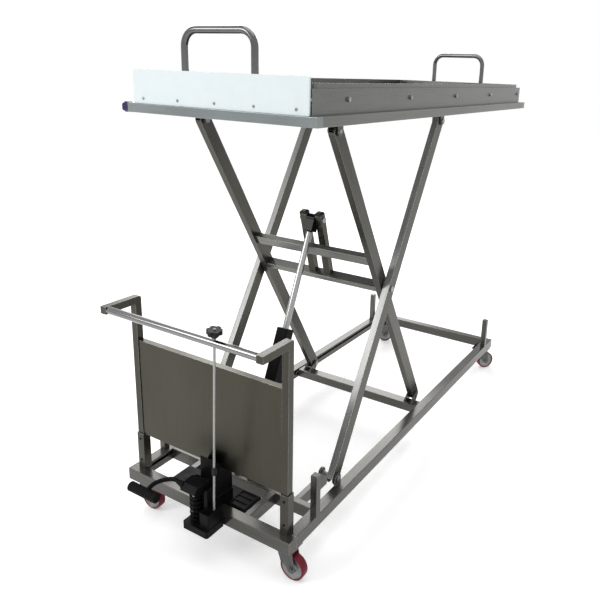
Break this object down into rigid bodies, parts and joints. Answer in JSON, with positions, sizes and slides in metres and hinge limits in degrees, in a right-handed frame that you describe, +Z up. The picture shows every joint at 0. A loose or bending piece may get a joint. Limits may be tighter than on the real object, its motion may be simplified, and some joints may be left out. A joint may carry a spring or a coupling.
{
  "type": "mortuary lift trolley",
  "caption": "Scissor-lift mortuary trolley: foot-pumped ram raises a platform with rollers and a sliding body tray on a castored base with push bar.",
  "frame": {"origin": "on the floor, under the middle of the overall box", "axes": "+X across the trolley, +Y from the push bar to the far end, +Z up"},
  "size_m": [0.786, 2.1996, 1.696],
  "materials": {
    "stainless_tube": "welded stainless tube, satin",
    "stainless_sheet": "folded stainless sheet, satin",
    "panel_sheet": "folded stainless sheet, satin, dark",
    "bright_steel": "polished",
    "pin_steel": "turned steel",
    "black_metal": "black enamel",
    "black_plastic": "moulded black plastic",
    "black_rubber": "moulded ribbed rubber",
    "white_plastic": "white plastic board",
    "navy_plastic": "moulded plastic",
    "zinc": "zinc plated",
    "red_wheel": "polyurethane tread on a plastic core",
    "roller_steel": "turned tube"
  },
  "bodies": {
    "base": {"side_rails": "stainless_tube", "front_cross_tube": "stainless_tube", "rear_cross_tube": "stainless_tube", "pump_cross_tube": "stainless_tube", "bay_tubes": "stainless_tube", "bearer_bars": "stainless_tube", "stop_posts": "stainless_tube", "stop_caps": "stainless_tube", "handle_frames": "stainless_tube", "push_bar": "bright_steel", "upright_sockets": "stainless_tube", "socket_screws": "pin_steel", "front_panel": "panel_sheet", "castor_plates": "zinc", "ram_foot_lugs": "stainless_tube", "pump_body": "black_metal", "oil_tank": "black_metal"},
    "outer_arms": {"outer_arms": "stainless_tube", "outer_arm_pins": "pin_steel"},
    "inner_arms": {"inner_arms": "stainless_tube", "inner_arm_pins": "pin_steel", "upper_cross_tube": "stainless_tube", "lower_cross_tube": "stainless_tube", "clevis_posts": "stainless_tube", "clevis_caps": "black_plastic"},
    "ram_rod": {"ram_rod": "bright_steel"},
    "ram_cylinder": {"ram_cylinder": "black_metal"},
    "lower_carriage": {"lower_carriage": "stainless_tube"},
    "upper_carriage": {"upper_carriage": "stainless_tube"},
    "platform": {"platform_side_tubes": "stainless_tube", "platform_front_tube": "stainless_tube", "platform_rear_tube": "stainless_tube", "pivot_cross_tube": "stainless_tube", "side_panels": "stainless_sheet", "front_board": "white_plastic", "board_screws": "pin_steel", "roller_axles": "pin_steel"},
    "tray": {"body_tray": "stainless_sheet", "tray_handles": "bright_steel"},
    "tray_lock": {"tray_lock_knob": "navy_plastic"},
    "pedal": {"pedal_lever": "black_metal", "pedal_grip": "black_rubber"},
    "plunger": {"pump_plunger": "black_metal", "pump_spring": "black_metal"},
    "release": {"release_rod": "bright_steel", "rod_coupling": "black_plastic", "release_knob": "black_plastic"},
    "roller_1": {"deck_roller_1": "roller_steel"},
    "roller_2": {"deck_roller_2": "roller_steel"},
    "roller_3": {"deck_roller_3": "roller_steel"},
    "roller_4": {"deck_roller_4": "roller_steel"},
    "roller_5": {"deck_roller_5": "roller_steel"},
    "castor_fork_front_left": {"castor_fork_front_left": "zinc"},
    "castor_wheel_front_left": {"castor_wheel_front_left": "red_wheel"},
    "castor_fork_front_right": {"castor_fork_front_right": "zinc"},
    "castor_wheel_front_right": {"castor_wheel_front_right": "red_wheel"},
    "castor_fork_rear_left": {"castor_fork_rear_left": "zinc"},
    "castor_wheel_rear_left": {"castor_wheel_rear_left": "red_wheel"},
    "castor_fork_rear_right": {"castor_fork_rear_right": "zinc"},
    "castor_wheel_rear_right": {"castor_wheel_rear_right": "red_wheel"}
  },
  "joints": [
    {"name": "lift", "type": "hinge", "parent": "base", "child": "outer_arms", "pos_m": [0, -0.60625, 0.185], "axis": [1, 0, 0], "range_deg": [-55.1, 0]},
    {"name": "scissor_crossing", "type": "hinge", "parent": "outer_arms", "child": "inner_arms", "pos_m": [0, -0.24325, 0.7945], "axis": [1, 0, 0], "range_deg": [0, 110.22]},
    {"name": "platform_level", "type": "hinge", "parent": "inner_arms", "child": "platform", "pos_m": [0, -0.60625, 1.404], "axis": [1, 0, 0], "range_deg": [-55.12, 0]},
    {"name": "lower_carriage_level", "type": "hinge", "parent": "inner_arms", "child": "lower_carriage", "pos_m": [0, 0.11975, 0.185], "axis": [1, 0, 0], "range_deg": [-55.12, 0]},
    {"name": "upper_carriage_level", "type": "hinge", "parent": "outer_arms", "child": "upper_carriage", "pos_m": [0, 0.11975, 1.404], "axis": [1, 0, 0], "range_deg": [0, 55.12]},
    {"name": "ram_swing", "type": "hinge", "parent": "inner_arms", "child": "ram_rod", "pos_m": [0, -0.31423, 1.03505], "axis": [1, 0, 0], "range_deg": [-108.34, 0]},
    {"name": "ram_stroke", "type": "slide", "parent": "ram_rod", "child": "ram_cylinder", "axis": [0, 0.3955, 0.9185], "range_m": [0, 0.3666]},
    {"name": "tray_roll", "type": "slide", "parent": "platform", "child": "tray", "axis": [0, 1, 0], "range_m": [0, 0.9]},
    {"name": "roller_1_spin", "type": "hinge", "parent": "platform", "child": "roller_1", "pos_m": [0, -0.64925, 1.503], "axis": [1, 0, 0], "continuous": true},
    {"name": "roller_2_spin", "type": "hinge", "parent": "platform", "child": "roller_2", "pos_m": [0, -0.22825, 1.503], "axis": [1, 0, 0], "continuous": true},
    {"name": "roller_3_spin", "type": "hinge", "parent": "platform", "child": "roller_3", "pos_m": [0, 0.19275, 1.503], "axis": [1, 0, 0], "continuous": true},
    {"name": "roller_4_spin", "type": "hinge", "parent": "platform", "child": "roller_4", "pos_m": [0, 0.61375, 1.503], "axis": [1, 0, 0], "continuous": true},
    {"name": "roller_5_spin", "type": "hinge", "parent": "platform", "child": "roller_5", "pos_m": [0, 1.03475, 1.503], "axis": [1, 0, 0], "continuous": true},
    {"name": "tray_lock_turn", "type": "hinge", "parent": "platform", "child": "tray_lock", "pos_m": [-0.38, -0.83625, 1.446], "axis": [1, 0, 0], "range_deg": [0, 90]},
    {"name": "pedal_press", "type": "hinge", "parent": "base", "child": "pedal", "pos_m": [0.017, -0.95825, 0.267], "axis": [1, 0, 0], "range_deg": [0, 14], "stiffness_Nm_per_rad": 20, "springref_deg": -11.46},
    {"name": "plunger_stroke", "type": "slide", "parent": "base", "child": "plunger", "axis": [0, 0, -1], "range_m": [0, 0.0079], "deforming": ["pump_spring"]},
    {"name": "release_turn", "type": "hinge", "parent": "base", "child": "release", "pos_m": [0.086, -0.98425, 0.196], "axis": [0.0935, -0.0661, 0.9934], "range_deg": [0, 180]},
    {"name": "castor_swivel_front_left", "type": "hinge", "parent": "base", "child": "castor_fork_front_left", "pos_m": [-0.318, -0.90325, 0.09], "axis": [0, 0, 1], "continuous": true},
    {"name": "castor_roll_front_left", "type": "hinge", "parent": "castor_fork_front_left", "child": "castor_wheel_front_left", "pos_m": [-0.288, -0.90325, 0.045], "axis": [0, -1, 0], "continuous": true},
    {"name": "castor_swivel_front_right", "type": "hinge", "parent": "base", "child": "castor_fork_front_right", "pos_m": [0.318, -0.90325, 0.09], "axis": [0, 0, 1], "continuous": true},
    {"name": "castor_roll_front_right", "type": "hinge", "parent": "castor_fork_front_right", "child": "castor_wheel_front_right", "pos_m": [0.348, -0.90325, 0.045], "axis": [0, -1, 0], "continuous": true},
    {"name": "castor_swivel_rear_left", "type": "hinge", "parent": "base", "child": "castor_fork_rear_left", "pos_m": [-0.318, 0.92375, 0.09], "axis": [0, 0, 1], "continuous": true},
    {"name": "castor_roll_rear_left", "type": "hinge", "parent": "castor_fork_rear_left", "child": "castor_wheel_rear_left", "pos_m": [-0.29872, 0.94673, 0.045], "axis": [0.766, -0.6428, 0], "continuous": true},
    {"name": "castor_swivel_rear_right", "type": "hinge", "parent": "base", "child": "castor_fork_rear_right", "pos_m": [0.318, 0.92375, 0.09], "axis": [0, 0, 1], "continuous": true},
    {"name": "castor_roll_rear_right", "type": "hinge", "parent": "castor_fork_rear_right", "child": "castor_wheel_rear_right", "pos_m": [0.33728, 0.94673, 0.045], "axis": [0.766, -0.6428, 0], "continuous": true}
  ],
  "couplings": [
    {"joint": "scissor_crossing", "follows": "lift", "ratio": -2},
    {"joint": "platform_level", "follows": "lift", "ratio": 1},
    {"joint": "lower_carriage_level", "follows": "lift", "ratio": 1},
    {"joint": "upper_carriage_level", "follows": "lift", "ratio": -1},
    {"joint": "ram_swing", "follows": "lift", "ratio": 1.9658},
    {"joint": "ram_stroke", "follows": "lift", "m_per_rad": -0.381},
    {"joint": "plunger_stroke", "follows": "pedal_press", "m_per_rad": 0.032}
  ]
}
